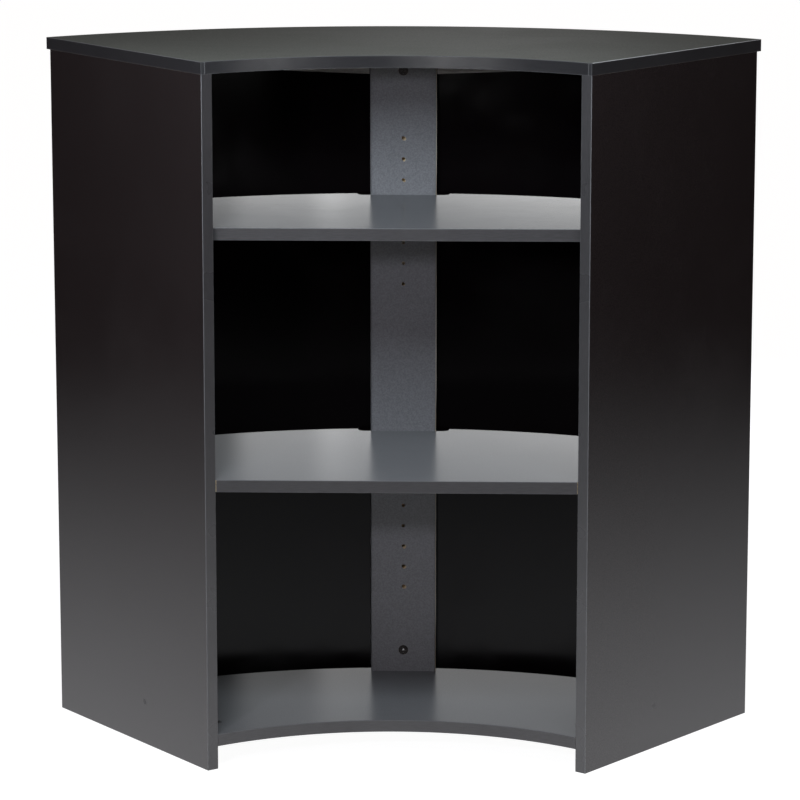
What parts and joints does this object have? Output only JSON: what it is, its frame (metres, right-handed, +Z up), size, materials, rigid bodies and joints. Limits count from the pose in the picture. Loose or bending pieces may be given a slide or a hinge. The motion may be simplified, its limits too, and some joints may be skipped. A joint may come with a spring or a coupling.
{
  "type": "corner bar cabinet",
  "caption": "Black corner bar cabinet with a curved counter top, splayed side panels, open shelves round a drilled stile and a bent panel on the guests' side.",
  "frame": {"origin": "bottom centre of the bounding box, on the floor", "axes": "+X to the right for someone serving, +Y from the server to the guests, +Z up"},
  "size_m": [1.0702, 0.5196, 1.04],
  "materials": {
    "laminate": "satin black melamine on particle board",
    "top_laminate": "fine-grained matt black laminate",
    "bent_panel": "black lacquered hardboard",
    "edge_band": "satin black edging",
    "cam_zinc": "die-cast zinc",
    "fitting_steel": "plated steel",
    "dowel_beech": "fluted beech",
    "cap_plastic": "black plastic"
  },
  "bodies": {
    "carcass": {"base_front_band": "edge_band", "base_panel": "laminate", "cam_bolts": "fitting_steel", "centre_stile": "laminate", "cleat_screws": "fitting_steel", "curved_panel": "bent_panel", "dowels": "dowel_beech", "fixed_shelf": "laminate", "fixed_shelf_band": "edge_band", "left_link_cap": "cap_plastic", "left_side_front_band": "edge_band", "left_side_panel": "laminate", "left_side_rear_band": "edge_band", "left_top_cleat": "laminate", "panel_pins": "fitting_steel", "right_link_cap": "cap_plastic", "right_side_front_band": "edge_band", "right_side_panel": "laminate", "right_side_rear_band": "edge_band", "right_top_cleat": "laminate", "shelf_pins": "fitting_steel", "stile_left_band": "edge_band", "stile_right_band": "edge_band", "top_front_band": "edge_band", "top_left_band": "edge_band", "top_panel": "top_laminate", "top_rear_band": "edge_band", "top_right_band": "edge_band"},
    "shelf": {"adjustable_shelf": "laminate", "adjustable_shelf_band": "edge_band"},
    "cam_base_left_front": {"cam_base_left_front": "cam_zinc"},
    "cam_base_left_rear": {"cam_base_left_rear": "cam_zinc"},
    "cam_base_right_front": {"cam_base_right_front": "cam_zinc"},
    "cam_base_right_rear": {"cam_base_right_rear": "cam_zinc"},
    "cam_shelf_left_front": {"cam_shelf_left_front": "cam_zinc"},
    "cam_shelf_left_rear": {"cam_shelf_left_rear": "cam_zinc"},
    "cam_shelf_right_front": {"cam_shelf_right_front": "cam_zinc"},
    "cam_shelf_right_rear": {"cam_shelf_right_rear": "cam_zinc"},
    "cam_shelf_stile": {"cam_shelf_stile": "cam_zinc"},
    "cam_stile_foot": {"cam_stile_foot": "cam_zinc"},
    "cam_stile_top": {"cam_stile_top": "cam_zinc"},
    "cam_top_left_front": {"cam_top_left_front": "cam_zinc"},
    "cam_top_left_rear": {"cam_top_left_rear": "cam_zinc"},
    "cam_top_right_front": {"cam_top_right_front": "cam_zinc"},
    "cam_top_right_rear": {"cam_top_right_rear": "cam_zinc"}
  },
  "joints": [
    {"name": "shelf_lift", "type": "slide", "parent": "carcass", "child": "shelf", "axis": [0, 0, 1], "range_m": [0, 0.34]},
    {"name": "cam_base_left_front_turn", "type": "hinge", "parent": "carcass", "child": "cam_base_left_front", "pos_m": [-0.26921, -0.18293, 0.043], "axis": [0, 0, 1], "range_deg": [0, 180]},
    {"name": "cam_base_left_rear_turn", "type": "hinge", "parent": "carcass", "child": "cam_base_left_rear", "pos_m": [-0.37879, -0.04013, 0.043], "axis": [0, 0, 1], "range_deg": [0, 180]},
    {"name": "cam_base_right_front_turn", "type": "hinge", "parent": "carcass", "child": "cam_base_right_front", "pos_m": [0.26921, -0.18293, 0.043], "axis": [0, 0, 1], "range_deg": [0, 180]},
    {"name": "cam_base_right_rear_turn", "type": "hinge", "parent": "carcass", "child": "cam_base_right_rear", "pos_m": [0.37879, -0.04013, 0.043], "axis": [0, 0, 1], "range_deg": [0, 180]},
    {"name": "cam_shelf_left_front_turn", "type": "hinge", "parent": "carcass", "child": "cam_shelf_left_front", "pos_m": [-0.26921, -0.18293, 0.79], "axis": [0, 0, -1], "range_deg": [0, 180]},
    {"name": "cam_shelf_left_rear_turn", "type": "hinge", "parent": "carcass", "child": "cam_shelf_left_rear", "pos_m": [-0.37879, -0.04013, 0.79], "axis": [0, 0, -1], "range_deg": [0, 180]},
    {"name": "cam_shelf_right_front_turn", "type": "hinge", "parent": "carcass", "child": "cam_shelf_right_front", "pos_m": [0.26921, -0.18293, 0.79], "axis": [0, 0, -1], "range_deg": [0, 180]},
    {"name": "cam_shelf_right_rear_turn", "type": "hinge", "parent": "carcass", "child": "cam_shelf_right_rear", "pos_m": [0.37879, -0.04013, 0.79], "axis": [0, 0, -1], "range_deg": [0, 180]},
    {"name": "cam_shelf_stile_turn", "type": "hinge", "parent": "carcass", "child": "cam_shelf_stile", "pos_m": [0, 0.07393, 0.79], "axis": [0, 0, -1], "range_deg": [0, 180]},
    {"name": "cam_stile_foot_turn", "type": "hinge", "parent": "carcass", "child": "cam_stile_foot", "pos_m": [0, 0.11693, 0.086], "axis": [0, -1, 0], "range_deg": [0, 180]},
    {"name": "cam_stile_top_turn", "type": "hinge", "parent": "carcass", "child": "cam_stile_top", "pos_m": [0, 0.11693, 0.988], "axis": [0, -1, 0], "range_deg": [0, 180]},
    {"name": "cam_top_left_front_turn", "type": "hinge", "parent": "carcass", "child": "cam_top_left_front", "pos_m": [-0.30333, -0.20911, 0.988], "axis": [0.7934, 0.6088, 0], "range_deg": [0, 180]},
    {"name": "cam_top_left_rear_turn", "type": "hinge", "parent": "carcass", "child": "cam_top_left_rear", "pos_m": [-0.41291, -0.0663, 0.988], "axis": [0.7934, 0.6088, 0], "range_deg": [0, 180]},
    {"name": "cam_top_right_front_turn", "type": "hinge", "parent": "carcass", "child": "cam_top_right_front", "pos_m": [0.30333, -0.20911, 0.988], "axis": [-0.7934, 0.6088, 0], "range_deg": [0, 180]},
    {"name": "cam_top_right_rear_turn", "type": "hinge", "parent": "carcass", "child": "cam_top_right_rear", "pos_m": [0.41291, -0.0663, 0.988], "axis": [-0.7934, 0.6088, 0], "range_deg": [0, 180]}
  ]
}
